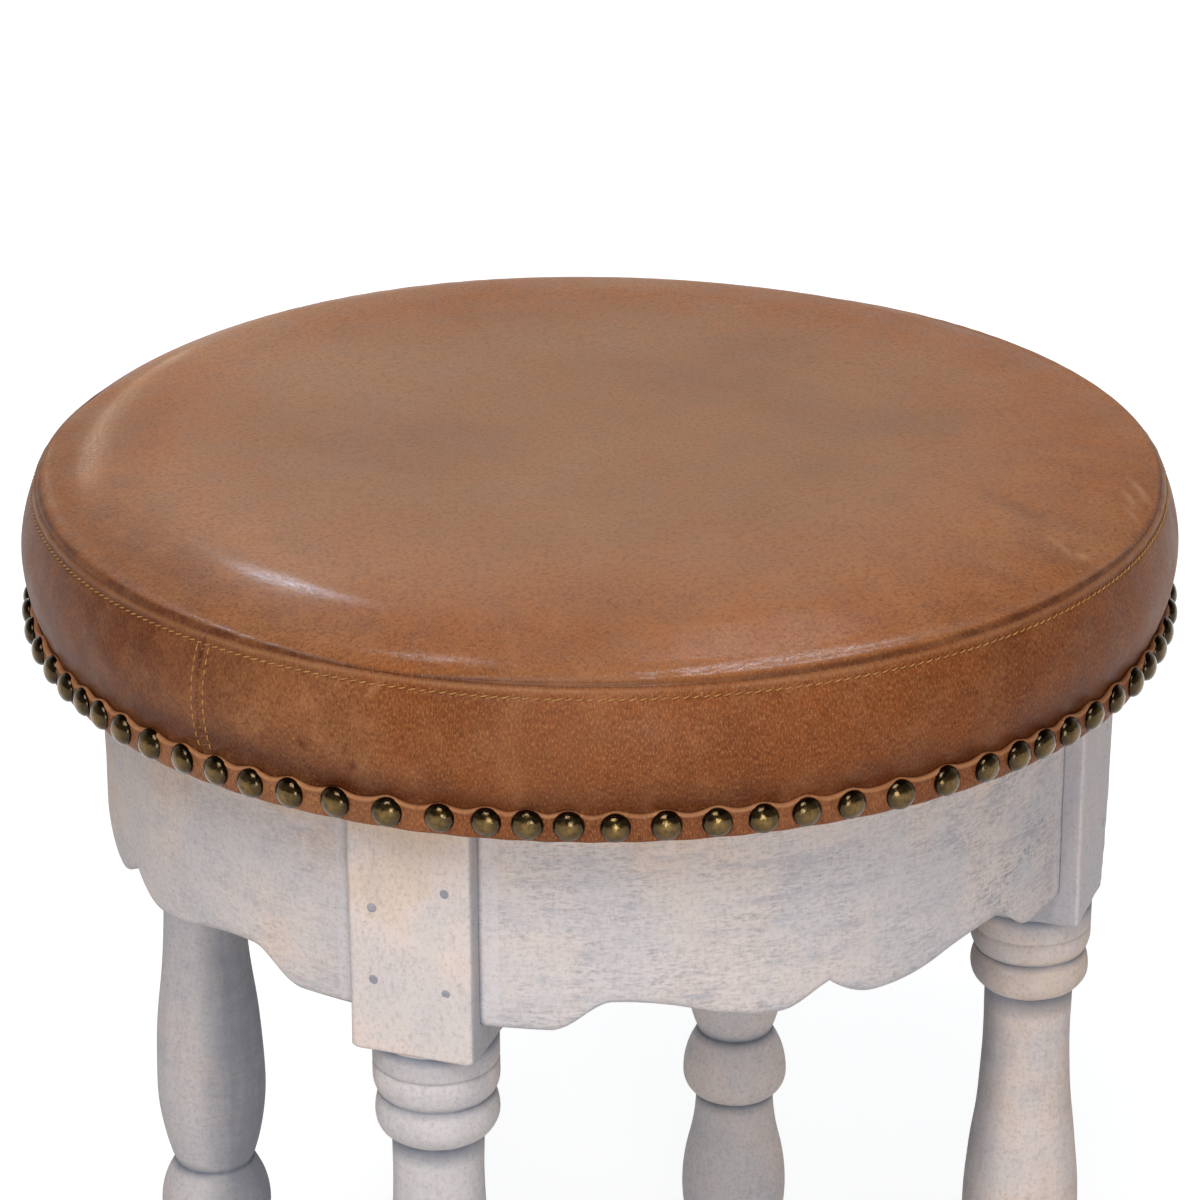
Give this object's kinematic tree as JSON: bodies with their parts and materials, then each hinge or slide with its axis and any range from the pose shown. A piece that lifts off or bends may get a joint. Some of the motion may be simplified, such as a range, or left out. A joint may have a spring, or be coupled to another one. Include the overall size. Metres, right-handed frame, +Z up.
{
  "type": "round leather stool",
  "caption": "Round stool with a boxed leather seat trimmed by a nailed strip, on a scalloped apron frame and turned legs in whitewashed wood.",
  "frame": {"origin": "on the floor under the middle of the round seat", "axes": "+Z up, the front apron faces -Y, the legs stand on the diagonals"},
  "size_m": [0.4073, 0.4072, 0.4577],
  "materials": {
    "whitewashed_wood": "chalky whitewash",
    "peg_wood": "grey stained",
    "raw_wood": "sawn",
    "leather": "satin tan",
    "antique_brass": "antiqued",
    "foam": "open cell"
  },
  "bodies": {
    "root": {"leg_front_left": "whitewashed_wood", "pegs_front_left": "peg_wood", "leg_front_right": "whitewashed_wood", "pegs_front_right": "peg_wood", "leg_back_right": "whitewashed_wood", "pegs_back_right": "peg_wood", "leg_back_left": "whitewashed_wood", "pegs_back_left": "peg_wood", "apron_front": "whitewashed_wood", "glue_block_front": "raw_wood", "apron_right": "whitewashed_wood", "glue_block_right": "raw_wood", "apron_back": "whitewashed_wood", "glue_block_back": "raw_wood", "apron_left": "whitewashed_wood", "glue_block_left": "raw_wood", "seat_board": "raw_wood", "foam_pad": "foam", "leather_top": "leather", "leather_band": "leather", "leather_strip": "leather", "brass_nails": "antique_brass"}
  },
  "joints": []
}
